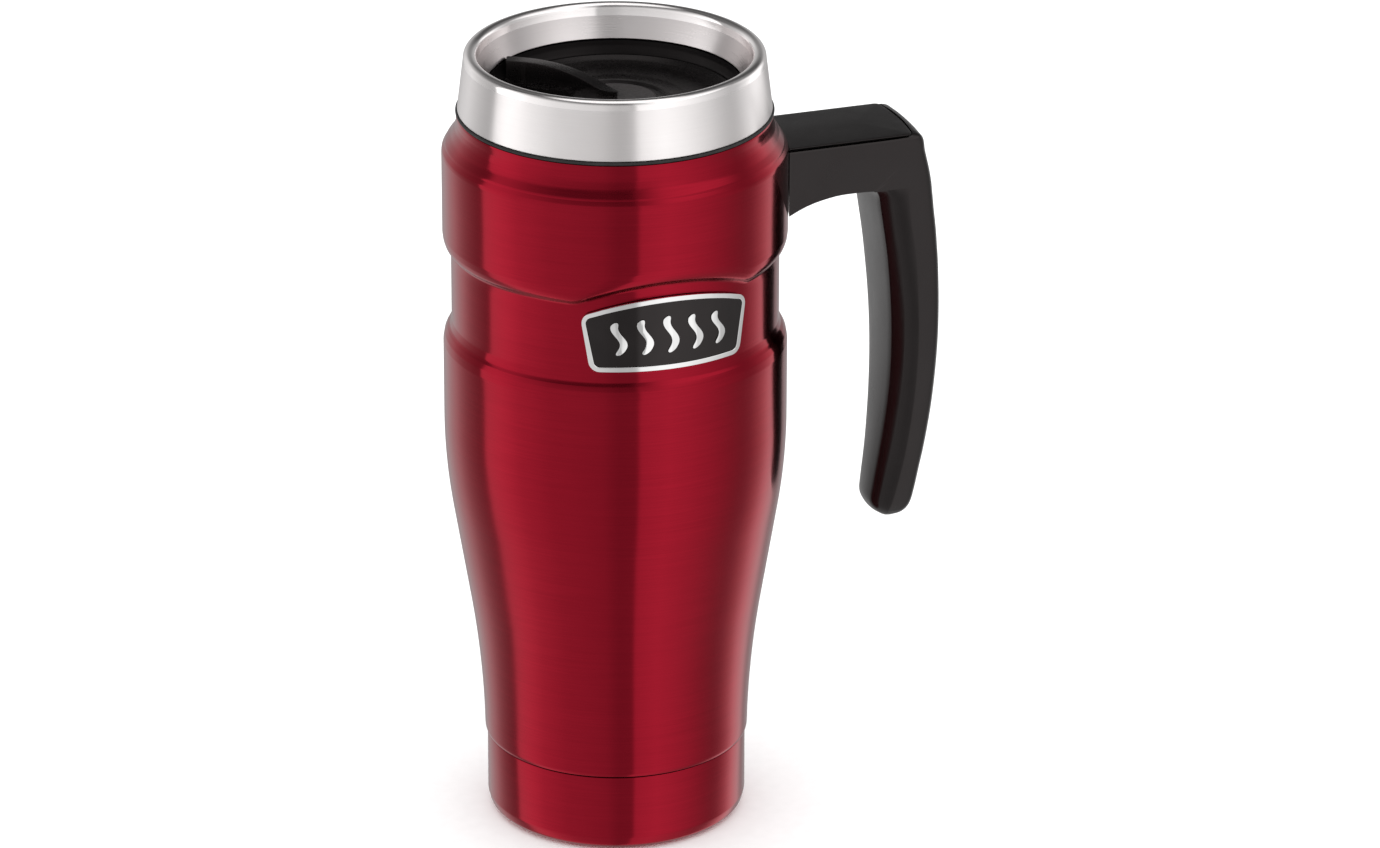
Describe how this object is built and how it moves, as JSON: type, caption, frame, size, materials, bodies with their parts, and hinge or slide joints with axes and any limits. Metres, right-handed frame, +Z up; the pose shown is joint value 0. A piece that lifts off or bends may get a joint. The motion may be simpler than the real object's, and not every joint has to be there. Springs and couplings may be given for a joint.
{
  "type": "insulated travel mug",
  "caption": "Double-wall vacuum travel mug with a side handle and a screw lid that has a steel rim, a recessed bowl and a turning drink dial.",
  "frame": {"origin": "centre of the base's underside, on the mug's axis, where it rests on a table", "axes": "+Z up along the mug's axis, +X from the axis towards the handle, -Y towards the badge"},
  "size_m": [0.1257, 0.0858, 0.203],
  "materials": {
    "red_paint": "translucent red lacquer over brushed stainless steel, glossy",
    "bare_steel": "brushed around the axis",
    "polished_steel": "fine brushed, nearly polished",
    "hidden_steel": "mill finish",
    "foil": "bright rolled foil",
    "black_plastic": "satin moulded polypropylene",
    "badge_black": "smooth dark enamel",
    "badge_silver": "bright silver",
    "silicone": "matt silicone rubber"
  },
  "bodies": {
    "mug": {"outer_shell": "red_paint", "base_cup": "red_paint", "inner_liner": "bare_steel", "foil_shield": "foil", "vacuum_plate": "hidden_steel", "seal_plug": "hidden_steel", "getter_puck": "hidden_steel", "badge_plate": "badge_silver", "badge_field": "badge_black", "steam_mark_1": "badge_silver", "steam_mark_2": "badge_silver", "steam_mark_3": "badge_silver", "steam_mark_4": "badge_silver", "steam_mark_5": "badge_silver", "handle_bracket": "hidden_steel", "handle_frame": "black_plastic", "handle_cap": "black_plastic", "handle_screw_inner": "hidden_steel", "handle_screw_outer": "hidden_steel"},
    "lid_lift": {"neck_gasket": "silicone"},
    "lid": {"lid_body": "black_plastic", "lid_ring": "polished_steel", "plug_seal": "silicone", "lid_lower_cover": "black_plastic"},
    "dial": {"drink_dial": "black_plastic", "dial_pad": "silicone", "dial_washer": "hidden_steel", "dial_screw": "hidden_steel"}
  },
  "joints": [
    {"name": "lid_rise", "type": "slide", "parent": "mug", "child": "lid_lift", "axis": [0, 0, 1], "range_m": [0, 0.0281]},
    {"name": "lid_turn", "type": "hinge", "parent": "lid_lift", "child": "lid", "pos_m": [0, 0, 0.187], "axis": [0, 0, 1], "range_deg": [0, 720]},
    {"name": "dial_turn", "type": "hinge", "parent": "lid", "child": "dial", "pos_m": [0, 0, 0.1896], "axis": [0, 0, 1], "range_deg": [0, 90]}
  ],
  "couplings": [
    {"joint": "lid_rise", "follows": "lid_turn", "m_per_rad": 0.0022282}
  ]
}
